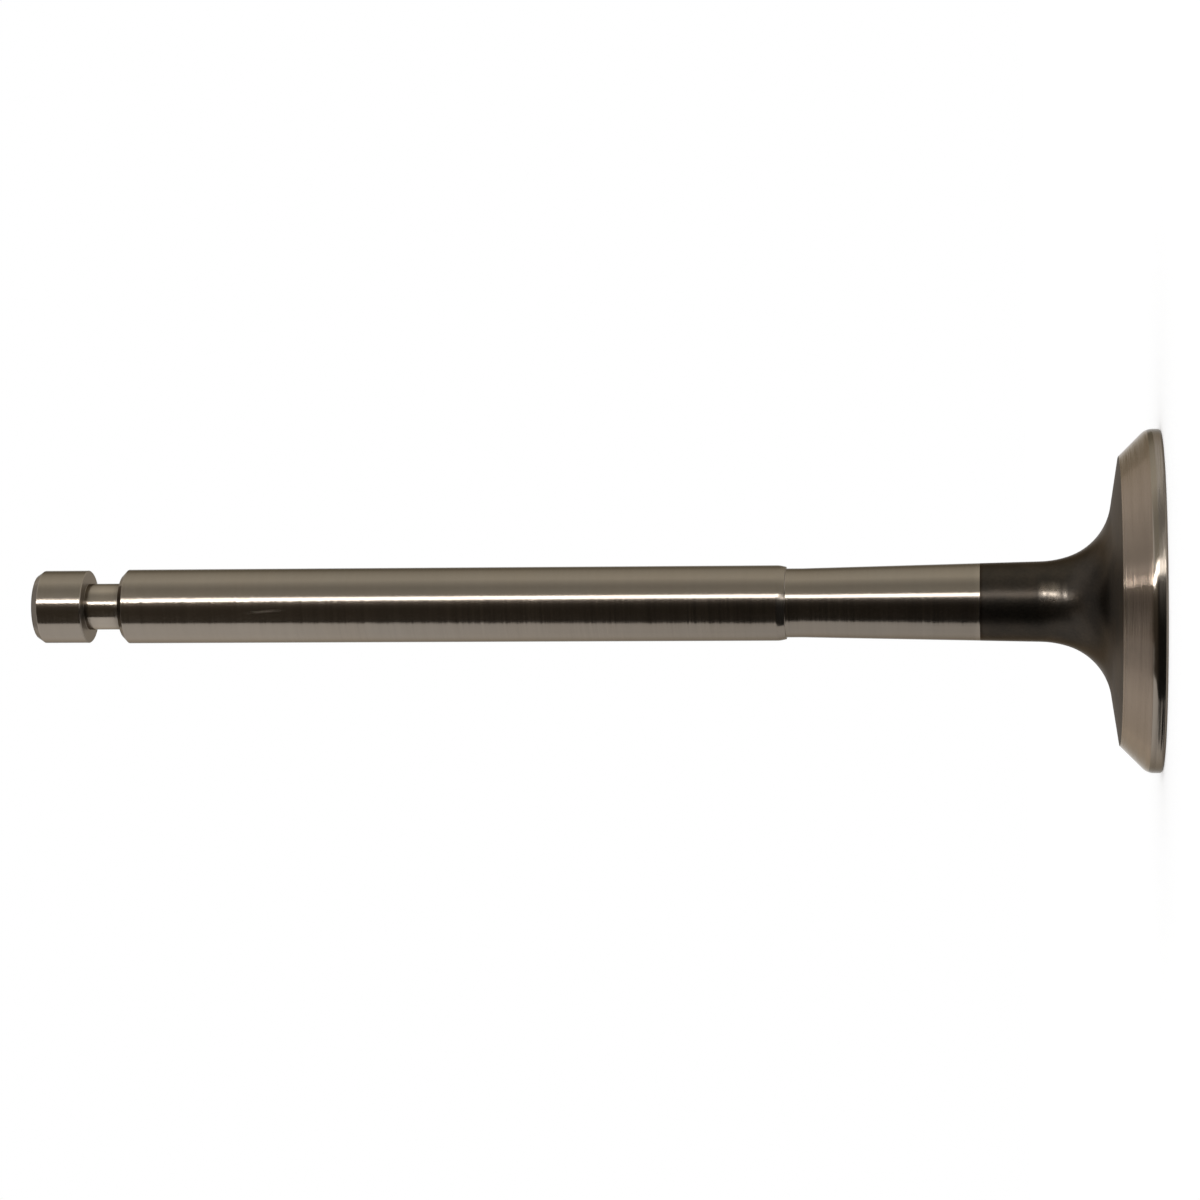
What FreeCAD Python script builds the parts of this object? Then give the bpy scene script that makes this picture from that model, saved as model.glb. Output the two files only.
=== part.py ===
import FreeCAD, Part
from enum import IntEnum
import math
import os
import Sketcher

# Poppet valve of an engine, forged and turned in one piece. It stands on the flat face of its head:
# the origin is the centre of that face, and +Z runs up the stem to the tip.

# Driving sizes in millimetres and degrees. Heights are above the face of the head, depths are radial.
SIZES = {
    # Head: a cylindrical margin above the face, the seat, worn round where it meets the margin,
    # and the back that slopes in to the tulip. The seat's width is measured to the sharp corner.
    "head_diameter": 42.4,
    "margin_height": 1.8,
    "rim_break": 0.25,
    "seat_angle": 45,
    "seat_width": 4.7,
    "seat_edge_radius": 2,
    "back_angle": 8.8,
    # Tulip fillet: a tighter arc under the head runs into a wider one along the neck
    "head_arc_radius": 7.7,
    "neck_arc_radius": 11.8,
    "neck_arc_angle": 18.1,
    # Neck, which narrows as it rises, and the straight relief above it
    "neck_taper": 1.3,
    "relief_depth": 0.41,
    "relief_length": 2,
    # Stem, from its shoulder up
    "stem_diameter": 9.44,
    "shoulder_height": 46.15,
    "shoulder_lead_depth": 0.18,
    "shoulder_lead_length": 0.8,
    # Tip, and the keeper groove below it
    "overall_length": 142.25,
    "tip_length": 6.6,
    "tip_setback": 0.08,
    "tip_bevel_depth": 0.58,
    "tip_bevel_length": 0.86,
    "groove_width": 4.65,
    "groove_depth": 1.78,
    "groove_lead": 0.65,
    "groove_edge_break": 0.12,
    "groove_root_radius": 0.15,
}

FULL_TURN = 360
STRAIGHT_OUT = 180
STRAIGHT_DOWN = 270
MATCH = 1e-4


class At(IntEnum):
    """A point of a sketch's edge."""
    START = 1
    END = 2


# The sketch's own origin
ORIGIN = (-1, At.START)


def write_sizes(document):
    """Puts each driving size in an aliased cell of a sheet."""
    sheet = document.addObject("Spreadsheet::Sheet", "sizes")
    for row, (name, value) in enumerate(SIZES.items(), start=1):
        sheet.set(f"A{row}", name)
        sheet.set(f"B{row}", str(value))
        sheet.setAlias(f"B{row}", name)
    document.recompute()
    return sheet


def towards(centre, radius, degrees):
    """The point at a distance and direction from another."""
    angle = math.radians(degrees)
    return (centre[0] + radius * math.cos(angle), centre[1] + radius * math.sin(angle))


class HalfSection:
    """A closed outline beside the axis: x is the distance from the axis, y the height."""

    def __init__(self, body, name):
        self.sketch = body.newObject("Sketcher::SketchObject", name)
        plane = next(item for item in body.Origin.OriginFeatures if item.Role == "XZ_Plane")
        self.sketch.AttachmentSupport = (plane, [""])
        self.sketch.MapMode = "FlatFace"

    def line(self, start, end):
        edge = Part.LineSegment(FreeCAD.Vector(*start, 0), FreeCAD.Vector(*end, 0))
        return self.sketch.addGeometry(edge, False)

    def arc(self, centre, radius, start_angle, end_angle):
        circle = Part.Circle(FreeCAD.Vector(*centre, 0), FreeCAD.Vector(0, 0, 1), radius)
        edge = Part.ArcOfCircle(circle, math.radians(start_angle), math.radians(end_angle))
        return self.sketch.addGeometry(edge, False)

    def rule(self, kind, *where):
        self.sketch.addConstraint(Sketcher.Constraint(kind, *where))

    def corner(self, edge, following):
        self.rule("Coincident", edge, At.END, following, At.START)

    def smooth(self, edge, following):
        self.rule("Tangent", edge, At.END, following, At.START)

    def radius(self, name, edge, formula):
        self.size(name, formula, self.sketch.Geometry[edge].Radius, "Radius", edge)

    def turn(self, name, edge, formula):
        """The angle that an arc spans."""
        arc = self.sketch.Geometry[edge]
        self.size(name, formula, arc.LastParameter - arc.FirstParameter, "Angle", edge)

    def slope(self, name, edge, formula):
        """The direction of a line, from the x direction."""
        run = self.run(edge)
        self.size(name, formula, math.atan2(run.y, run.x), "Angle", edge)

    def length(self, name, edge, formula):
        self.size(name, formula, self.run(edge).Length, "Distance", edge)

    def out(self, name, first, second, formula):
        """How much further from the axis the second point is than the first."""
        gap = self.sketch.getPoint(*second).x - self.sketch.getPoint(*first).x
        self.size(name, formula, gap, "DistanceX", *first, *second)

    def up(self, name, first, second, formula):
        """How much higher the second point is than the first."""
        gap = self.sketch.getPoint(*second).y - self.sketch.getPoint(*first).y
        self.size(name, formula, gap, "DistanceY", *first, *second)

    def run(self, edge):
        return self.sketch.getPoint(edge, At.END) - self.sketch.getPoint(edge, At.START)

    def size(self, name, formula, drawn, kind, *where):
        """Adds a named dimension, as it was drawn, and ties it to the sheet."""
        index = self.sketch.addConstraint(Sketcher.Constraint(kind, *where, drawn))
        self.sketch.renameConstraint(index, name)
        self.sketch.setExpression(f"Constraints.{name}", formula)


def draw_blank(body):
    """Half section of the valve without its keeper groove and small edge breaks.

    The edges run up the axis, out along the tip, down the outside and back in along the face.
    """
    section = HalfSection(body, "blank_outline")
    head_radius = SIZES["head_diameter"] / 2
    stem_radius = SIZES["stem_diameter"] / 2
    relief_radius = stem_radius - SIZES["relief_depth"]
    shoulder_radius = stem_radius - SIZES["shoulder_lead_depth"]
    tip_radius = stem_radius - SIZES["tip_setback"]
    shoulder = SIZES["shoulder_height"]
    tip = SIZES["overall_length"]
    bevel_foot = tip - SIZES["tip_bevel_length"]
    groove_middle = tip - SIZES["tip_length"] - SIZES["groove_width"] / 2
    relief_foot = shoulder - SIZES["relief_length"]
    stem_foot = shoulder + SIZES["shoulder_lead_length"]

    # The seat, and a first guess at the tulip's arcs, which the tangent rules then settle
    margin_top = (head_radius, SIZES["margin_height"])
    seat_top = towards(margin_top, SIZES["seat_width"], STRAIGHT_OUT - SIZES["seat_angle"])
    back_rise = (seat_top[0] - relief_radius) * math.tan(math.radians(SIZES["back_angle"]))
    head_arc = SIZES["head_arc_radius"]
    neck_arc = SIZES["neck_arc_radius"]
    joint = STRAIGHT_OUT + SIZES["neck_arc_angle"]
    back_end = STRAIGHT_DOWN - SIZES["back_angle"]
    head_centre = (relief_radius + head_arc, seat_top[1] + back_rise + head_arc)
    neck_centre = towards(head_centre, head_arc - neck_arc, joint)

    axis = section.line((0, 0), (0, tip))
    tip_face = section.line((0, tip), (tip_radius - SIZES["tip_bevel_depth"], tip))
    tip_bevel = section.line((tip_radius - SIZES["tip_bevel_depth"], tip), (tip_radius, bevel_foot))
    tip_side = section.line((tip_radius, bevel_foot), (tip_radius, groove_middle))
    tip_step = section.line((tip_radius, groove_middle), (stem_radius, groove_middle))
    stem = section.line((stem_radius, groove_middle), (stem_radius, stem_foot))
    lead = section.line((stem_radius, stem_foot), (shoulder_radius, shoulder))
    wall = section.line((shoulder_radius, shoulder), (relief_radius, shoulder))
    relief = section.line((relief_radius, shoulder), (relief_radius, relief_foot))
    neck = section.line((relief_radius, relief_foot), towards(neck_centre, neck_arc, STRAIGHT_OUT))
    upper_tulip = section.arc(neck_centre, neck_arc, STRAIGHT_OUT, joint)
    lower_tulip = section.arc(head_centre, head_arc, joint, back_end)
    back = section.line(towards(head_centre, head_arc, back_end), seat_top)
    seat = section.line(seat_top, margin_top)
    margin = section.line(margin_top, (head_radius, 0))
    face = section.line((head_radius, 0), (0, 0))

    outline = [axis, tip_face, tip_bevel, tip_side, tip_step, stem, lead, wall, relief, neck]
    for edge, following in zip(outline, outline[1:]):
        section.corner(edge, following)
    section.smooth(neck, upper_tulip)
    section.smooth(upper_tulip, lower_tulip)
    section.smooth(lower_tulip, back)
    outline = [back, seat, margin, face, axis]
    for edge, following in zip(outline, outline[1:]):
        section.corner(edge, following)
    section.rule("Coincident", axis, At.START, *ORIGIN)
    for edge in (axis, tip_side, stem, relief, margin):
        section.rule("Vertical", edge)
    for edge in (tip_face, tip_step, wall, face):
        section.rule("Horizontal", edge)

    section.out("head_radius", ORIGIN, (face, At.START), "sizes.head_diameter / 2")
    section.up("margin_height", (margin, At.END), (margin, At.START), "sizes.margin_height")
    section.length("seat_width", seat, "sizes.seat_width")
    section.slope("seat_slope", seat, "-sizes.seat_angle")
    section.slope("back_slope", back, "-sizes.back_angle")
    section.radius("head_arc_radius", lower_tulip, "sizes.head_arc_radius")
    section.radius("neck_arc_radius", upper_tulip, "sizes.neck_arc_radius")
    section.turn("neck_arc_angle", upper_tulip, "sizes.neck_arc_angle - sizes.neck_taper")
    section.slope("neck_slope", neck, "-90 + sizes.neck_taper")
    section.out("relief_depth", (wall, At.END), (stem, At.END), "sizes.relief_depth")
    section.length("relief_length", relief, "sizes.relief_length")
    section.up("shoulder_height", ORIGIN, (wall, At.START), "sizes.shoulder_height")
    section.out("lead_depth", (lead, At.END), (lead, At.START), "sizes.shoulder_lead_depth")
    section.up("lead_length", (lead, At.END), (lead, At.START), "sizes.shoulder_lead_length")
    section.out("stem_radius", ORIGIN, (stem, At.START), "sizes.stem_diameter / 2")
    section.out("tip_setback", (tip_step, At.START), (tip_step, At.END), "sizes.tip_setback")
    section.up("step_drop", (tip_step, At.END), (axis, At.END), "sizes.tip_length + sizes.groove_width / 2")
    section.out("bevel_depth", (tip_bevel, At.START), (tip_bevel, At.END), "sizes.tip_bevel_depth")
    section.up("bevel_length", (tip_bevel, At.END), (tip_bevel, At.START), "sizes.tip_bevel_length")
    section.length("overall_length", axis, "sizes.overall_length")
    return section.sketch


def draw_groove(body):
    """Section that the keeper groove takes out. It reaches out past the stem's side."""
    section = HalfSection(body, "groove_outline")
    floor_radius = SIZES["stem_diameter"] / 2 - SIZES["groove_depth"]
    reach = SIZES["stem_diameter"]
    top = SIZES["overall_length"] - SIZES["tip_length"]
    foot = top - SIZES["groove_width"]

    floor = section.line((floor_radius, foot), (floor_radius, top))
    tip_wall = section.line((floor_radius, top), (reach, top))
    outside = section.line((reach, top), (reach, foot))
    stem_wall = section.line((reach, foot), (floor_radius, foot))

    outline = [floor, tip_wall, outside, stem_wall, floor]
    for edge, following in zip(outline, outline[1:]):
        section.corner(edge, following)
    for edge in (floor, outside):
        section.rule("Vertical", edge)
    for edge in (tip_wall, stem_wall):
        section.rule("Horizontal", edge)

    section.out("floor_radius", ORIGIN, (floor, At.START), "sizes.stem_diameter / 2 - sizes.groove_depth")
    section.out("reach", ORIGIN, (outside, At.START), "sizes.stem_diameter")
    section.up("top", ORIGIN, (tip_wall, At.START), "sizes.overall_length - sizes.tip_length")
    section.length("groove_width", floor, "sizes.groove_width")
    return section.sketch


def spin(body, kind, name, sketch):
    """Turns a half section all the way round the axis, as solid or as a cut."""
    feature = body.newObject(kind, name)
    feature.Profile = sketch
    feature.ReferenceAxis = (sketch, ["V_Axis"])
    feature.Angle = FULL_TURN
    body.Document.recompute()
    return feature


def rings(feature, *places):
    """Names of the feature's round edges at the given pairs of radius and height."""
    names = []
    for number, edge in enumerate(feature.Shape.Edges, start=1):
        if not isinstance(edge.Curve, Part.Circle):
            continue
        for radius, height in places:
            same_radius = abs(edge.Curve.Radius - radius) < MATCH
            same_height = abs(edge.Curve.Center.z - height) < MATCH
            if same_radius and same_height:
                names.append(f"Edge{number}")
    if not names:
        raise RuntimeError(f"{feature.Name} has no round edge at {places}")
    return names


def dress(body, kind, name, *places, **formulas):
    """Adds a fillet or chamfer on the round edges at the given places."""
    base = body.Tip
    feature = body.newObject(kind, name)
    feature.Base = (base, rings(base, *places))
    for property_name, formula in formulas.items():
        feature.setExpression(property_name, formula)
    body.Document.recompute()
    return feature


def build_valve(document):
    """The valve: turned blank, keeper groove, then the small fillets and edge breaks."""
    body = document.addObject("PartDesign::Body", "valve")
    body.Label = "valve"
    body.Placement = FreeCAD.Placement(FreeCAD.Vector(0, 0, 0), FreeCAD.Rotation())

    blank = spin(body, "PartDesign::Revolution", "turned_blank", draw_blank(body))
    groove = spin(body, "PartDesign::Groove", "keeper_groove", draw_groove(body))
    if groove.Shape.Volume > blank.Shape.Volume - MATCH:
        raise RuntimeError("the keeper groove cuts nothing")

    head_radius = SIZES["head_diameter"] / 2
    stem_radius = SIZES["stem_diameter"] / 2
    tip_radius = stem_radius - SIZES["tip_setback"]
    floor_radius = stem_radius - SIZES["groove_depth"]
    groove_top = SIZES["overall_length"] - SIZES["tip_length"]
    groove_foot = groove_top - SIZES["groove_width"]
    dress(
        body, "PartDesign::Fillet", "groove_roots",
        (floor_radius, groove_foot), (floor_radius, groove_top),
        Radius="sizes.groove_root_radius",
    )
    dress(
        body, "PartDesign::Chamfer", "groove_lead",
        (stem_radius, groove_foot),
        Size="sizes.groove_lead",
    )
    dress(
        body, "PartDesign::Chamfer", "groove_edge",
        (tip_radius, groove_top),
        Size="sizes.groove_edge_break",
    )
    dress(
        body, "PartDesign::Fillet", "seat_edge",
        (head_radius, SIZES["margin_height"]),
        Radius="sizes.seat_edge_radius",
    )
    dress(
        body, "PartDesign::Chamfer", "rim_break",
        (head_radius, 0),
        Size="sizes.rim_break",
    )
    return body


def check(document, body):
    """Stops the build if any object failed or the solid is not one whole valid solid."""
    for item in document.Objects:
        if "Invalid" in item.State or "Error" in item.State:
            raise RuntimeError(f"{item.Name} failed: {item.State}")
    if body.Shape.isNull() or not body.Shape.isValid() or len(body.Shape.Solids) != 1:
        raise RuntimeError(f"{body.Label} is not one valid solid")


def main():
    document = FreeCAD.newDocument("engine_valve")
    write_sizes(document)
    valve = build_valve(document)
    document.recompute()
    check(document, valve)
    os.makedirs("parts", exist_ok=True)
    valve.Shape.exportStep(f"parts/{valve.Label}.step")


main()
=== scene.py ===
import math

import bpy
from mathutils import Matrix, Vector


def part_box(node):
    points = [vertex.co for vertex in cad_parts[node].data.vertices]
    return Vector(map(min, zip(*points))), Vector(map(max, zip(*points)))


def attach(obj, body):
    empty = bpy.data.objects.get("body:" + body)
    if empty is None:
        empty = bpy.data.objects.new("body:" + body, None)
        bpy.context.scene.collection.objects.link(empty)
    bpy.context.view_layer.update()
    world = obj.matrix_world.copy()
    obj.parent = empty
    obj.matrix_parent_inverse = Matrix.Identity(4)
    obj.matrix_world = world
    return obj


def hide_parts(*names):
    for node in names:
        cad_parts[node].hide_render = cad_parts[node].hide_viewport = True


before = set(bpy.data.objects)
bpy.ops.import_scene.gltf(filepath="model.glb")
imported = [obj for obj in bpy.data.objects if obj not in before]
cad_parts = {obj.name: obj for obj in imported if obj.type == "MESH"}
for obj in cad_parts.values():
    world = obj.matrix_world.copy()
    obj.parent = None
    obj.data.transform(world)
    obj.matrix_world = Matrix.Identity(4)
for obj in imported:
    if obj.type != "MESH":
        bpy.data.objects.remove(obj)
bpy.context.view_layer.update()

MM = 0.001

# The valve's sizes, as its solid has them
CAD_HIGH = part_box("valve")[1]
HEAD_RADIUS = CAD_HIGH.x
TIP_HEIGHT = CAD_HIGH.z
MARGIN_HEIGHT = 1.8 * MM
RIM_BREAK = 0.25 * MM
SEAT_ANGLE = math.radians(45)
SEAT_WIDTH = 4.7 * MM
SEAT_EDGE_RADIUS = 2 * MM
BACK_ANGLE = math.radians(8.8)
HEAD_ARC_RADIUS = 7.7 * MM
NECK_ARC_RADIUS = 11.8 * MM
NECK_ARC_ANGLE = math.radians(18.1)
NECK_TAPER = math.radians(1.3)
STEM_RADIUS = 4.72 * MM
RELIEF_RADIUS = STEM_RADIUS - 0.41 * MM
RELIEF_LENGTH = 2 * MM
SHOULDER_HEIGHT = 46.15 * MM
SHOULDER_RADIUS = STEM_RADIUS - 0.18 * MM
SHOULDER_LEAD = 0.8 * MM
TIP_RADIUS = STEM_RADIUS - 0.08 * MM
TIP_LENGTH = 6.6 * MM
TIP_BEVEL_DEPTH = 0.58 * MM
TIP_BEVEL_LENGTH = 0.86 * MM
GROOVE_TOP = TIP_HEIGHT - TIP_LENGTH
GROOVE_FOOT = GROOVE_TOP - 4.65 * MM
GROOVE_RADIUS = STEM_RADIUS - 1.78 * MM
GROOVE_LEAD = 0.65 * MM
GROOVE_EDGE_BREAK = 0.12 * MM
GROOVE_ROOT_RADIUS = 0.15 * MM

# Height up to which the tulip and neck are left dark, as forged
FORGED_TOP = 22.1 * MM

# Roundings: edges as the tool leaves them, edges that wear dulls, the neck's run into the relief under the
# shoulder, and the end of the shoulder's lead, which fades into the stem
KEEN = 0.04 * MM
DULL = 0.12 * MM
SOFT = 0.5 * MM
BLENDED = 3 * MM

# Fineness of the mesh
AROUND = 192
ARC_STEP = math.radians(4)
LONGEST_RUN = 3 * MM

# Finishes, in the order of the valve's materials
GROUND, SEAT, FORGED, FACED = range(4)

# Metal: its colour seen face on, and its shine seen edge on
GROUND_BROWN = (0.268, 0.226, 0.184, 1)
GROUND_GREY = (0.264, 0.233, 0.199, 1)
GROUND_SHINE = (0.42, 0.40, 0.37)
SEAT_COLOUR = (0.268, 0.212, 0.166)
SEAT_SHINE = (0.60, 0.56, 0.50)
SCALE_GREY = (0.050, 0.046, 0.041, 1)
SCALE_BROWN = (0.058, 0.045, 0.034, 1)
SCALE_SHINE = (0.54, 0.50, 0.46)
FACED_COLOUR = (0.262, 0.236, 0.205)
FACED_SHINE = (0.35, 0.33, 0.30)

# Turns the anisotropic highlight square to the rings
QUARTER_TURN = 0.25

# Marks on the camera's side, in millimetres: the tulip's rubbed lumps, glossy and with a painted highlight,
# each with its height, reach and weight, and a slanting scuff below the groove
RUBBED_GLINT_LUMPS = [(14.3, 0.9, 1), (13.1, 1.1, 1.3), (11.75, 0.5, 0.45)]
RUBBED_GLINT_X = 1.1
RUBBED_GLINT_REACH = 1.7
SCUFF_X = -0.74
SCUFF_HEIGHT = 112
SCUFF_REACH = 4.5
SCUFF_BREADTH = 0.3
SCUFF_SLOPE = 0.07

# Camera, level with the lower neck, looking a little up the stem and rolled to lay the valve down
PHOTO_SIZE = 1200
PHOTO_FOCAL_LENGTH = 3250
SENSOR_WIDTH = 36
CAMERA_DISTANCE = 405.8 * MM
CAMERA_HEIGHT = 17.86 * MM
CAMERA_OFFSET = 0.50 * MM
CAMERA_TILT = math.radians(7.27)
CAMERA_ROLL = math.radians(-0.32)
CLIP_START = 0.01
CLIP_END = 20

# Light, and the floor's own light for the rays that show it as background
WORLD_STRENGTH = 0.8
FLOOR_FILL = 0.3
FLOOR_COLOUR = (0.9, 0.9, 0.9, 1)
FLOOR_HALF_SIDE = 4
FLOOR_HEIGHT = -0.01 * MM

# Cards that only the metal reflects. Walls stand round the valve, in layers where they overlap. A near
# ring lies on the floor from the head's edge, and a far one out to the walls.
WHITE = (1, 1, 1)
WARM_DARK = (1, 0.86, 0.68)
WARM_GREY = (1, 0.975, 0.87)
WALL = 0.8
LAYER = 0.01
WALL_FOOT_HEIGHT = 0.3
FADE_START = 0.03
NO_FADE = (1, 1)
DEGREES_A_STEP = 5
RING_HEIGHT = 0.02 * MM
RING_START = HEAD_RADIUS + 0.5 * MM
RING_SPLIT = 0.075
RING_END = 0.82

# The bright strip: where it starts and ends in degrees, how it leans in degrees per metre, and its levels
STRIP = (17.8, 27.2)
HIGH_STRIP = (17.4, 22.6)
NEAR_STRIP = (12.5, 19.5)
STRIP_LEAN = -9
STRIP_LEVEL = 7
HIGH_STRIP_LEVEL = 24.5
NEAR_STRIP_LEVEL = 2.7


class Corner:
    """A corner of the outline: distance from the axis, height, rounding, and the finish after it."""

    def __init__(self, out, up, rounding=KEEN, finish=GROUND):
        self.point = Vector((out, up))
        self.rounding = rounding
        self.finish = finish


def heading(angle):
    return Vector((math.cos(angle), math.sin(angle)))


def tulip_corners(seat_top, relief_foot):
    """The two corners whose roundings, one under the head and one along the neck, meet smoothly."""
    back = heading(math.pi - BACK_ANGLE)
    between = heading(math.pi / 2 + NECK_ARC_ANGLE)
    neck = heading(math.pi / 2 + NECK_TAPER)
    head_turn = math.pi / 2 - BACK_ANGLE - NECK_ARC_ANGLE
    neck_turn = NECK_ARC_ANGLE - NECK_TAPER
    reach = HEAD_ARC_RADIUS * math.tan(head_turn / 2) + NECK_ARC_RADIUS * math.tan(neck_turn / 2)
    along_back = (relief_foot - seat_top - reach * between).cross(neck) / back.cross(neck)
    lower = seat_top + along_back * back
    upper = lower + reach * between
    return lower, upper, neck


def valve_outline():
    """Corners of the half section, from the middle of the face out, and up the outside to the tip."""
    margin_top = Vector((HEAD_RADIUS, MARGIN_HEIGHT))
    seat_top = margin_top + SEAT_WIDTH * heading(math.pi - SEAT_ANGLE)
    relief_foot = Vector((RELIEF_RADIUS, SHOULDER_HEIGHT - RELIEF_LENGTH))
    lower, upper, neck = tulip_corners(seat_top, relief_foot)
    forged_end = relief_foot - (relief_foot.y - FORGED_TOP) / neck.y * neck
    return [
        Corner(0, 0, 0, FACED),
        Corner(HEAD_RADIUS - RIM_BREAK, 0),
        Corner(HEAD_RADIUS, RIM_BREAK),
        Corner(*margin_top, SEAT_EDGE_RADIUS, SEAT),
        Corner(*seat_top, DULL, FORGED),
        Corner(*lower, HEAD_ARC_RADIUS, FORGED),
        Corner(*upper, NECK_ARC_RADIUS, FORGED),
        Corner(*forged_end, 0),
        Corner(*relief_foot, SOFT),
        Corner(RELIEF_RADIUS, SHOULDER_HEIGHT, DULL),
        Corner(SHOULDER_RADIUS, SHOULDER_HEIGHT),
        Corner(STEM_RADIUS, SHOULDER_HEIGHT + SHOULDER_LEAD, BLENDED),
        Corner(STEM_RADIUS, GROOVE_FOOT - GROOVE_LEAD),
        Corner(STEM_RADIUS - GROOVE_LEAD, GROOVE_FOOT),
        Corner(GROOVE_RADIUS, GROOVE_FOOT, GROOVE_ROOT_RADIUS),
        Corner(GROOVE_RADIUS, GROOVE_TOP),
        Corner(TIP_RADIUS - GROOVE_EDGE_BREAK, GROOVE_TOP),
        Corner(TIP_RADIUS, GROOVE_TOP + GROOVE_EDGE_BREAK),
        Corner(TIP_RADIUS, TIP_HEIGHT - TIP_BEVEL_LENGTH, DULL),
        Corner(TIP_RADIUS - TIP_BEVEL_DEPTH, TIP_HEIGHT, DULL),
        Corner(0, TIP_HEIGHT, 0),
    ]


def outward(direction):
    """The way out of the metal, on the right of the outline's direction."""
    return Vector((direction.y, -direction.x))


def outline_samples(corners):
    """(point, normal, finish) along the outline. A rounded corner is an arc and changes finish halfway."""
    first = corners[0]
    direction = (corners[1].point - first.point).normalized()
    samples = [(first.point, outward(direction), first.finish)]

    def run_to(end, normal, finish):
        start = samples[-1][0]
        steps = max(1, math.ceil((end - start).length / LONGEST_RUN))
        for step in range(1, steps + 1):
            samples.append((start.lerp(end, step / steps), normal, finish))

    for corner, following in zip(corners[1:], corners[2:]):
        onward = (following.point - corner.point).normalized()
        turn = math.atan2(direction.cross(onward), direction.dot(onward))
        reach = corner.rounding * math.tan(abs(turn) / 2)
        side = math.copysign(corner.rounding, turn)
        normal = outward(direction)
        finish = samples[-1][2]
        arc_start = corner.point - reach * direction
        run_to(arc_start, normal, finish)
        centre = arc_start - side * normal
        steps = max(1, math.ceil(abs(turn) / ARC_STEP)) if corner.rounding else 0
        for step in range(1, steps + 1):
            bent = Matrix.Rotation(turn * step / steps, 2) @ normal
            samples.append((centre + side * bent, bent, finish if 2 * step < steps else corner.finish))
        # A corner without a rounding has no arc and changes finish at its point
        point, bent, _ = samples[-1]
        samples[-1] = (point, bent, corner.finish)
        direction = onward
    run_to(corners[-1].point, outward(direction), samples[-1][2])
    return samples


def add_object(name, data):
    made = bpy.data.objects.new(name, data)
    bpy.context.scene.collection.objects.link(made)
    return made


def lathe(name, samples, materials):
    """Turns the outline round the axis. Its first and last points lie on the axis."""
    vertices = []
    normals = []
    for point, normal, _ in samples[1:-1]:
        for step in range(AROUND):
            angle = math.tau * step / AROUND
            cosine, sine = math.cos(angle), math.sin(angle)
            vertices.append((point.x * cosine, point.x * sine, point.y))
            normals.append((normal.x * cosine, normal.x * sine, normal.y))
    foot = len(vertices)
    for point, normal, _ in (samples[0], samples[-1]):
        vertices.append((0, 0, point.y))
        normals.append((0, 0, normal.y))

    faces = []
    finishes = []
    last_ring = foot - AROUND
    for step in range(AROUND):
        following = (step + 1) % AROUND
        faces.append((foot, following, step))
        finishes.append(samples[0][2])
        faces.append((foot + 1, last_ring + step, last_ring + following))
        finishes.append(samples[-2][2])
    for ring in range(len(samples) - 3):
        for step in range(AROUND):
            following = (step + 1) % AROUND
            low, high = ring * AROUND, (ring + 1) * AROUND
            faces.append((low + step, low + following, high + following, high + step))
            finishes.append(samples[ring + 1][2])

    mesh = bpy.data.meshes.new(name)
    mesh.from_pydata(vertices, [], faces)
    for material in materials:
        mesh.materials.append(material)
    mesh.polygons.foreach_set("material_index", finishes)
    mesh.polygons.foreach_set("use_smooth", [True] * len(faces))
    mesh.update()
    mesh.normals_split_custom_set_from_vertices(normals)
    return add_object(name, mesh)


def add_camera():
    camera = add_object("camera", bpy.data.cameras.new("camera"))
    camera.data.sensor_width = SENSOR_WIDTH
    camera.data.lens = PHOTO_FOCAL_LENGTH / PHOTO_SIZE * SENSOR_WIDTH
    camera.data.clip_start = CLIP_START
    camera.data.clip_end = CLIP_END
    back = Vector((0, -math.cos(CAMERA_TILT), -math.sin(CAMERA_TILT)))
    right = Vector((0, math.sin(CAMERA_TILT), -math.cos(CAMERA_TILT)))
    up = back.cross(right)
    turn = Matrix.Rotation(CAMERA_ROLL, 3, back)
    axes = Matrix((turn @ right, turn @ up, back)).transposed()
    camera.matrix_world = Matrix.LocRotScale(
        Vector((CAMERA_OFFSET, -CAMERA_DISTANCE, CAMERA_HEIGHT)), axes.to_quaternion(), None
    )
    bpy.context.scene.camera = camera
    bpy.context.scene.view_settings.view_transform = "Standard"


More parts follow.
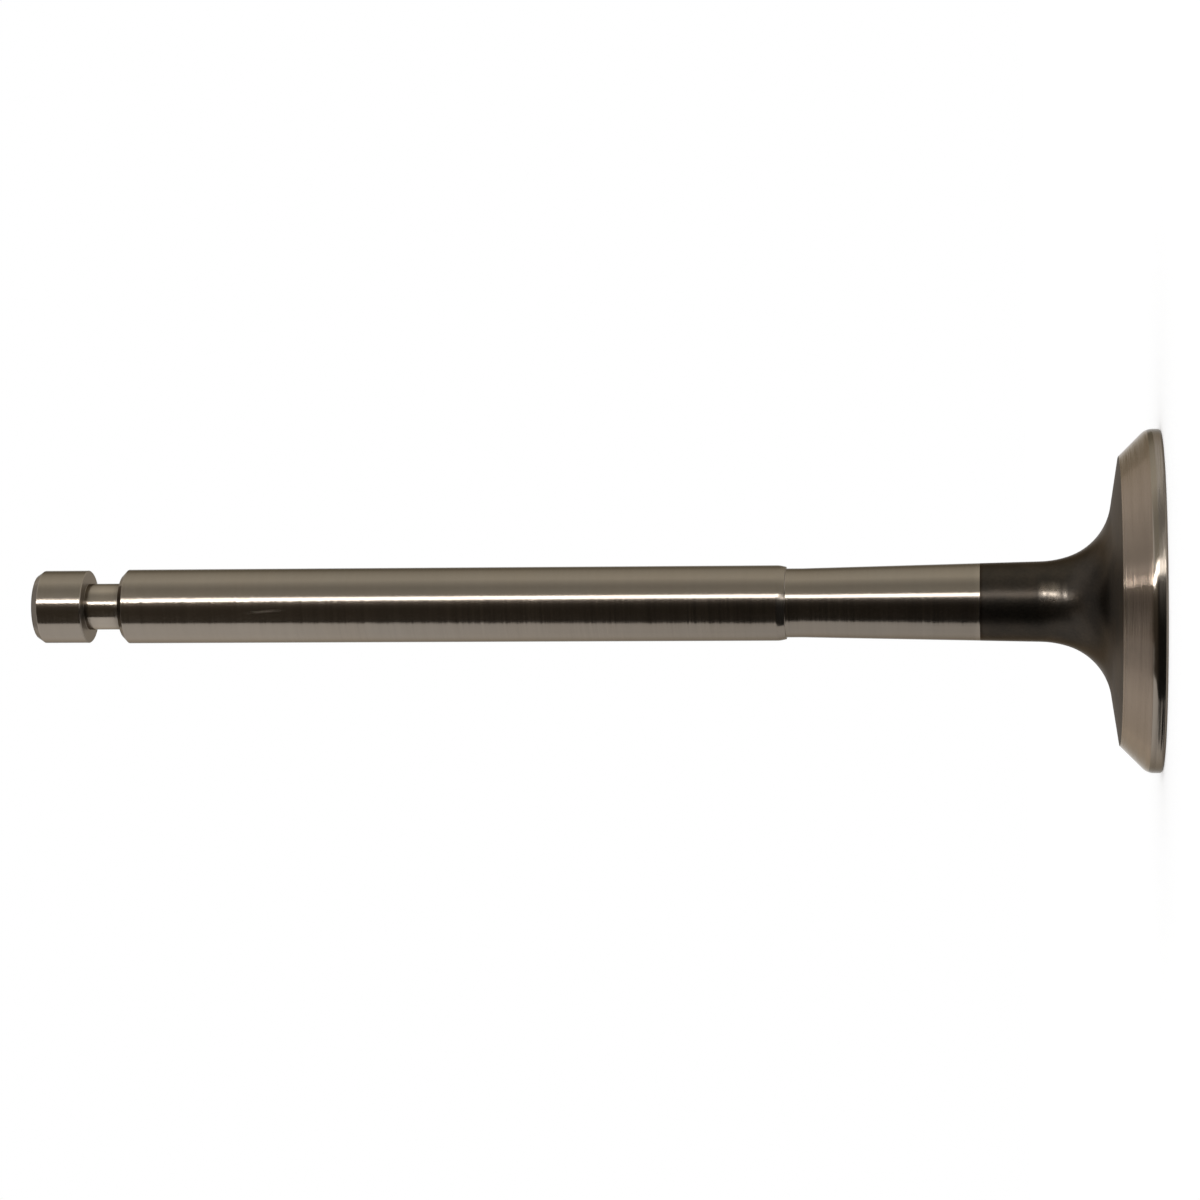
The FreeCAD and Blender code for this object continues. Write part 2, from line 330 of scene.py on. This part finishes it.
class Shader:
    """A node tree, with short ways to add and join its nodes."""

    def __init__(self, owner):
        owner.use_nodes = True
        self.tree = owner.node_tree
        self.tree.nodes.clear()

    def node(self, kind, inputs=None, **settings):
        made = self.tree.nodes.new(kind)
        for key, value in settings.items():
            setattr(made, key, value)
        for key, value in (inputs or {}).items():
            self.feed(made.inputs[key], value)
        return made

    def feed(self, socket, value):
        if isinstance(value, bpy.types.NodeSocket):
            self.tree.links.new(value, socket)
        else:
            socket.default_value = value

    def math(self, operation, *values):
        return self.node("ShaderNodeMath", dict(enumerate(values)), operation=operation).outputs[0]

    def vector(self, operation, *values):
        return self.node("ShaderNodeVectorMath", dict(enumerate(values)), operation=operation).outputs[0]

    def shade(self, colour, brightness):
        inputs = {0: colour, "Scale": brightness}
        return self.node("ShaderNodeVectorMath", inputs, operation="SCALE").outputs[0]

    def parts(self, vector):
        return self.node("ShaderNodeSeparateXYZ", {0: vector}).outputs

    def object_spot(self):
        return self.node("ShaderNodeTexCoord").outputs["Object"]

    def weigh(self, base, *parts):
        """The base, plus each part's value times its weight."""
        for value, weight in parts:
            base = self.math("MULTIPLY_ADD", value, weight, base)
        return base

    def total(self, *values):
        result = values[0]
        for value in values[1:]:
            result = self.math("ADD", result, value)
        return result

    def product(self, *values):
        result = values[0]
        for value in values[1:]:
            result = self.math("MULTIPLY", result, value)
        return result

    def ease(self, value, low, high, start=0.0, end=1.0):
        """Start before low, end past high, and a smooth change between. High may be the smaller one."""
        inputs = {0: value, 1: low, 2: high, 3: start, 4: end}
        return self.node("ShaderNodeMapRange", inputs, interpolation_type="SMOOTHSTEP").outputs[0]

    def near(self, value, middle, reach):
        """One at the middle, nothing beyond its reach."""
        return self.ease(self.math("ABSOLUTE", self.math("SUBTRACT", value, middle)), 0, reach, 1, 0)

    def tint(self, factor, first, second):
        inputs = {"Factor": factor, 6: first, 7: second}
        return self.node("ShaderNodeMix", inputs, data_type="RGBA").outputs[2]

    def cloud(self, vector, size, detail=2.0):
        """Smooth random values round 0.5, in patches about as large as the size."""
        inputs = {"Vector": vector, "Scale": 1 / size, "Detail": detail}
        return self.node("ShaderNodeTexNoise", inputs).outputs[0]

    def background_rays(self):
        """One for the rays that show the background: to the camera, in metal and in glass."""
        path = self.node("ShaderNodeLightPath").outputs
        seen = self.math("MAXIMUM", path["Is Camera Ray"], path["Is Glossy Ray"])
        return self.math("MAXIMUM", seen, path["Is Transmission Ray"])

    def glow(self, colour, strength):
        light = self.node("ShaderNodeEmission", {"Color": colour, "Strength": strength})
        self.node("ShaderNodeOutputMaterial", {"Surface": light.outputs[0]})


class MetalShader(Shader):
    """A shader that knows the place on the valve, in millimetres. Radius is the distance from the axis."""

    def __init__(self, owner):
        super().__init__(owner)
        self.spot = self.shade(self.object_spot(), 1 / MM)
        parts = self.parts(self.spot)
        self.x, self.y, self.height = parts["X"], parts["Y"], parts["Z"]
        flat = self.node("ShaderNodeCombineXYZ", {"X": self.x, "Y": self.y}).outputs[0]
        self.radius = self.node("ShaderNodeVectorMath", {0: flat}, operation="LENGTH").outputs["Value"]

    def stretched(self, x, y, z):
        return self.vector("MULTIPLY", self.spot, (x, y, z))

    def turned(self, pitch, around):
        """Random rings round the axis, each a little broken along its length."""
        along = self.math("SUBTRACT", self.height, self.radius)
        inputs = {
            "X": self.math("DIVIDE", self.x, around),
            "Y": self.math("DIVIDE", self.y, around),
            "Z": self.math("DIVIDE", along, pitch),
        }
        return self.cloud(self.node("ShaderNodeCombineXYZ", inputs).outputs[0], 1)

    def ring_tangent(self):
        return self.node("ShaderNodeTangent", direction_type="RADIAL", axis="Z").outputs[0]

    def ridged(self, slopes, steepness):
        """The surface's normal, tipped along the outline by random slopes round 0.5."""
        normal = self.node("ShaderNodeNewGeometry").outputs["Normal"]
        across = self.vector("CROSS_PRODUCT", normal, self.ring_tangent())
        tip = self.shade(across, self.math("MULTIPLY_ADD", slopes, 2 * steepness, -steepness))
        return self.vector("NORMALIZE", self.vector("ADD", normal, tip))

    def metal(self, colour, roughness, edge_shine, relief, depth, ridges=None, steepness=0, anisotropy=0):
        """Bare metal with a relief that is depth millimetres deep. Ridges round the axis tip its normal."""
        bump = {"Height": relief, "Distance": depth * MM, "Strength": 1}
        if ridges is not None:
            bump["Normal"] = self.ridged(ridges, steepness)
        surface = {
            "Base Color": colour,
            "Roughness": roughness,
            "Metallic": 1,
            "Specular Tint": (*edge_shine, 1),
            "Normal": self.node("ShaderNodeBump", bump).outputs[0],
        }
        if anisotropy:
            surface["Anisotropic"] = anisotropy
            surface["Anisotropic Rotation"] = QUARTER_TURN
            surface["Tangent"] = self.ring_tangent()
        metal = self.node("ShaderNodeBsdfPrincipled", surface)
        self.node("ShaderNodeOutputMaterial", {"Surface": metal.outputs[0]})


def new_shader(name, kind=Shader):
    material = bpy.data.materials.new(name)
    return material, kind(material)


def ground_steel():
    """Fine grinding round the stem, neck and tip, with rubbed edges, painted shade in the inner corners and
    along the tip's edge, and a scuff.
    """
    material, shader = new_shader("ground_steel", MetalShader)
    height, radius = shader.height, shader.radius
    fine = shader.turned(0.12, 9)
    broad = shader.turned(0.9, 30)
    clouds = shader.cloud(shader.spot, 14, 3.0)
    smears = shader.cloud(shader.stretched(1, 1, 0.2), 1.5, 3.0)

    worn_edges = [TIP_HEIGHT - TIP_BEVEL_LENGTH, GROOVE_FOOT - GROOVE_LEAD]
    wear = shader.total(*[shader.near(height, edge / MM, 0.16) for edge in worn_edges])
    inside = shader.ease(radius, 0.70 * STEM_RADIUS / MM, 0.93 * STEM_RADIUS / MM, 1, 0)
    # Painted shade: the inner corners at the groove's foot and at the shoulder, and the tip's end edge, are
    # made darker, and rougher as well
    shaded_corners = [(GROOVE_FOOT, 1.2), (SHOULDER_HEIGHT, 0.3)]
    corner_shade = shader.total(*[shader.near(height, corner / MM, reach) for corner, reach in shaded_corners])
    painted_shade = shader.weigh(shader.near(height, TIP_HEIGHT / MM, 0.25), (corner_shade, inside))
    groove = shader.product(shader.near(height, (GROOVE_FOOT + GROOVE_TOP) / 2 / MM, 2.8), inside)
    border = shader.near(height, FORGED_TOP / MM, 0.9)

    scuff_line = shader.weigh(shader.x, (height, SCUFF_SLOPE))
    scuff = shader.product(
        shader.near(height, SCUFF_HEIGHT, SCUFF_REACH),
        shader.near(scuff_line, SCUFF_X + SCUFF_SLOPE * SCUFF_HEIGHT, SCUFF_BREADTH),
        shader.ease(shader.y, -3, -4),
        shader.ease(shader.cloud(shader.stretched(2, 1, 0.3), 1), 0.3, 0.55),
    )

    colour = shader.tint(shader.cloud(shader.spot, 6), GROUND_BROWN, GROUND_GREY)
    brightness = shader.weigh(
        0.88, (broad, 0.07), (clouds, 0.14), (wear, 0.12), (painted_shade, -0.3),
        (border, 0.1), (groove, 0.22), (scuff, 0.15),
    )
    facing = shader.parts(shader.node("ShaderNodeNewGeometry").outputs["Normal"])["Z"]
    looks_up = shader.ease(facing, 0.8, 0.95)
    looks_down = shader.ease(facing, -0.5, -0.9)
    on_head = shader.ease(radius, 0.8 * HEAD_RADIUS / MM, 0.85 * HEAD_RADIUS / MM)
    roughness = shader.weigh(
        0.138, (fine, 0.05), (smears, 0.015), (painted_shade, 0.15), (scuff, 0.27),
        (looks_up, -0.07), (looks_down, 0.25), (on_head, -0.03),
    )
    shader.metal(
        shader.shade(colour, brightness), roughness, GROUND_SHINE,
        relief=broad, depth=0.0003, ridges=fine, steepness=0.1, anisotropy=0.6,
    )
    return material


def seat_steel():
    """The seat, turned with fine rings that draw its highlight out across it."""
    material, shader = new_shader("seat_steel", MetalShader)
    fine = shader.turned(0.035, 60)
    broad = shader.turned(0.9, 80)
    clouds = shader.cloud(shader.spot, 9, 3.0)
    colour = shader.shade(SEAT_COLOUR, shader.weigh(0.76, (fine, 0.08), (broad, 0.10), (clouds, 0.12)))
    roughness = shader.weigh(0.19, (fine, 0.05))
    shader.metal(
        colour, roughness, SEAT_SHINE,
        relief=broad, depth=0.0015, ridges=fine, steepness=1.5, anisotropy=1.0,
    )
    return material


def forged_steel():
    """Dark scale left by forging: mottled, slightly lumpy, lighter under the head, rubbed glossy in one
    place, with a painted highlight there.
    """
    material, shader = new_shader("forged_steel", MetalShader)
    height, radius = shader.height, shader.radius
    grain = shader.cloud(shader.spot, 0.3, 3.0)
    mottle = shader.cloud(shader.spot, 2.4, 3.0)
    lumps = shader.cloud(shader.stretched(1, 1, 1.6), 1.1, 1.0)
    border = shader.near(height, FORGED_TOP / MM, 0.5)
    middle = shader.near(radius, 8, 5)
    outer = shader.ease(radius, 8.5, 11)
    row = [(shader.near(height, place, reach), weight) for place, reach, weight in RUBBED_GLINT_LUMPS]
    # Painted highlight: the rubbed lumps are glossier, and also made much lighter where the strip's
    # highlight falls on them
    rubbed_and_painted_glint = shader.product(
        shader.weigh(0, *row),
        shader.near(shader.x, RUBBED_GLINT_X, RUBBED_GLINT_REACH),
        shader.ease(shader.y, -3, -4.5),
        shader.ease(lumps, 0.3, 0.55, 0.6, 1),
    )

    colour = shader.tint(shader.weigh(mottle, (border, 0.5)), SCALE_GREY, SCALE_BROWN)
    brightness = shader.weigh(
        0.42, (grain, 0.3), (mottle, 0.5), (middle, -0.12), (outer, 0.55), (border, -0.3), (rubbed_and_painted_glint, 3.0)
    )
    roughness = shader.weigh(0.28, (grain, 0.08), (rubbed_and_painted_glint, -0.14), (outer, 0.2))
    fine_relief = shader.product(grain, shader.ease(rubbed_and_painted_glint, 0, 0.1, 0.35, 0))
    relief = shader.weigh(fine_relief, (lumps, shader.ease(rubbed_and_painted_glint, 0, 0.4, 0.8, 0.3)))
    shader.metal(shader.shade(colour, brightness), roughness, SCALE_SHINE, relief=relief, depth=0.012)
    return material


def faced_steel():
    """The head's flat face, turned with open rings."""
    material, shader = new_shader("faced_steel", MetalShader)
    fine = shader.turned(0.25, 60)
    clouds = shader.cloud(shader.spot, 8, 3.0)
    colour = shader.shade(FACED_COLOUR, shader.weigh(0.78, (fine, 0.2), (clouds, 0.2)))
    roughness = shader.weigh(0.2, (fine, 0.1))
    shader.metal(
        colour, roughness, FACED_SHINE,
        relief=clouds, depth=0.002, ridges=fine, steepness=0.6, anisotropy=0.5,
    )
    return material


def add_world():
    world = bpy.data.worlds.new("studio")
    bpy.context.scene.world = world
    shader = Shader(world)
    strength = shader.math("MULTIPLY_ADD", shader.background_rays(), 1 - WORLD_STRENGTH, WORLD_STRENGTH)
    background = shader.node("ShaderNodeBackground", {"Color": (*WHITE, 1), "Strength": strength})
    shader.node("ShaderNodeOutputWorld", {"Surface": background.outputs[0]})


def add_stage(name, vertices, faces, material):
    mesh = bpy.data.meshes.new(name)
    mesh.from_pydata(vertices, [], faces)
    mesh.materials.append(material)
    piece = add_object(name, mesh)
    return piece


def add_square(name, half_side, height, material):
    corners = [(x * half_side, y * half_side, height) for x, y in ((-1, -1), (1, -1), (1, 1), (-1, 1))]
    return add_stage(name, corners, [(0, 1, 2, 3)], material)


def add_floor():
    """A pale floor that reads white where nothing shades it."""
    material, shader = new_shader("floor")
    matt = shader.node("ShaderNodeBsdfDiffuse", {"Color": FLOOR_COLOUR})
    fill = shader.math("MULTIPLY", shader.background_rays(), FLOOR_FILL)
    light = shader.node("ShaderNodeEmission", {"Strength": fill})
    both = shader.node("ShaderNodeAddShader", {0: matt.outputs[0], 1: light.outputs[0]})
    shader.node("ShaderNodeOutputMaterial", {"Surface": both.outputs[0]})
    add_square("floor", FLOOR_HALF_SIDE, FLOOR_HEIGHT, material)


def show_only_in_metal(piece):
    piece.visible_camera = False
    piece.visible_shadow = False
    piece.visible_diffuse = False


def azimuth_glow(shader, levels, hue, fade):
    """Light that follows (angle, level) pairs round the valve.

    Angles are in degrees from the camera's side and grow towards +X. Fade is the share of the light at the
    foot, and the height from which all of it is there.
    """
    parts = shader.parts(shader.object_spot())
    toward = shader.math("MULTIPLY", parts["Y"], -1)
    angle = shader.math("DEGREES", shader.math("ARCTAN2", parts["X"], toward))
    start, end = levels[0][0], levels[-1][0]
    along = shader.math("DIVIDE", shader.math("SUBTRACT", angle, start), end - start)
    ramp = shader.node("ShaderNodeValToRGB", {0: along})
    stops = ramp.color_ramp.elements
    for number, (direction, level) in enumerate(levels):
        position = (direction - start) / (end - start)
        # A new ramp has two stops already
        stop = stops[number] if number < 2 else stops.new(position)
        stop.position = position
        stop.color = (*(level * share for share in hue), 1)
    foot_share, full_height = fade
    inputs = {0: parts["Z"], 1: FADE_START, 2: full_height, 3: foot_share, 4: 1}
    shader.glow(ramp.outputs[0], shader.node("ShaderNodeMapRange", inputs).outputs[0])


def add_card(name, levels, hue, fade, rows):
    """A sheet round the valve, through rows of (distance, height, turn of the start, turn of the end)."""
    material, shader = new_shader(name)
    azimuth_glow(shader, levels, hue, fade)
    first, last = levels[0][0], levels[-1][0]
    steps = max(2, math.ceil(abs(last - first) / DEGREES_A_STEP))
    corners = []
    for distance, height, first_turn, last_turn in rows:
        for step in range(steps + 1):
            share = step / steps
            azimuth = math.radians((1 - share) * (first + first_turn) + share * (last + last_turn))
            corners.append((distance * math.sin(azimuth), -distance * math.cos(azimuth), height))
    faces = []
    for row in range(len(rows) - 1):
        for step in range(steps):
            corner = row * (steps + 1) + step
            faces.append((corner, corner + 1, corner + steps + 2, corner + steps + 1))
    show_only_in_metal(add_stage(name, corners, faces, material))


def wall_card(name, distance, foot, top, levels, hue=WHITE, fade=NO_FADE, foot_turn=0, lean=0):
    """An upright card. Its starting edge is turned by foot_turn at the foot, and all of it leans."""
    rows = []
    for height, turn in ((foot, foot_turn), (foot + WALL_FOOT_HEIGHT, 0), (top, 0)):
        rows.append((distance, height, turn + lean * height, lean * height))
    add_card(name, levels, hue, fade, rows)


def floor_card(name, start, end, levels, hue=WHITE):
    """A flat card on the floor, from one distance to another."""
    add_card(name, levels, hue, NO_FADE, [(start, RING_HEIGHT, 0, 0), (end, RING_HEIGHT, 0, 0)])


def even(span, level):
    """Levels for one even light from the first angle to the last."""
    return [(angle, level) for angle in span]


def overhead_card(name, half_side, height, level):
    material, shader = new_shader(name)
    shader.glow((level, level, level, 1), 1)
    show_only_in_metal(add_square(name, half_side, height, material))


def add_cards():
    """The studio that the metal mirrors: dark beside a bright strip, with grey above and pale below."""
    dark = [(-55, 0.085), (-14, 0.085), (0, 0.11), (18, 0.36)]
    high_dark = [(-34, 0.5), (-22, 0.1), (8, 0.1), (24, 0.5)]
    grey = [(26, 0.54), (55, 0.47), (66, 0.58), (84, 0.86)]
    grey += [(100, 0.82), (125, 0.70), (138, 0.55), (155, 0.55)]
    pale = [(-150, 1.32), (-120, 1.14), (-100, 1.0), (-45, 0.96)]
    wall_card("dark_card", WALL, 0, 0.62, dark, WARM_DARK, fade=(0.1, 0.35), foot_turn=-14)
    wall_card("high_dark_card", WALL + LAYER, 0, 1.5, high_dark, WARM_DARK)
    wall_card("strip", WALL - LAYER, 0, 0.37, even(STRIP, STRIP_LEVEL), lean=STRIP_LEAN)
    high_strip = even(HIGH_STRIP, HIGH_STRIP_LEVEL)
    wall_card("high_strip", WALL - 2 * LAYER, 0.36, 0.68, high_strip, lean=STRIP_LEAN)
    wall_card("grey_card", WALL, 0, 0.5, grey, WARM_GREY)
    wall_card("pale_card", WALL + 4 * LAYER, 0, 0.5, pale, fade=(0.68, 0.35))

    near_dark = [(-75, 0.005), (-10, 0.02), (0, 0.12), (12, 0.4)]
    far_dark = [(-76, 0.02), (-10, 0.035), (0, 0.08), (12, 0.25)]
    far_grey = [(28, 0.5), (55, 0.47), (66, 0.58), (84, 0.84), (100, 0.84), (140, 0.75)]
    floor_card("dark_floor_card", RING_START, RING_SPLIT, near_dark)
    floor_card("far_dark_floor_card", RING_SPLIT, RING_END, far_dark)
    floor_card("strip_floor_card", RING_START, 0.16, even(NEAR_STRIP, NEAR_STRIP_LEVEL))
    floor_card("far_strip_floor_card", 0.2, WALL, even(STRIP, STRIP_LEVEL))
    floor_card("grey_floor_card", RING_START, RING_SPLIT, even((28, 51), 0.4))
    floor_card("far_grey_floor_card", RING_SPLIT, RING_END, far_grey, WARM_GREY)
    floor_card("far_pale_floor_card", RING_SPLIT, 0.85, [(-150, 0.9), (-76, 0.75)])
    overhead_card("overhead_card", 0.7, 1.3, 0.5)


add_camera()
add_world()
add_floor()
add_cards()

finishes = [ground_steel(), seat_steel(), forged_steel(), faced_steel()]
valve = lathe("engine_valve", outline_samples(valve_outline()), finishes)
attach(valve, "root")
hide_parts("valve")
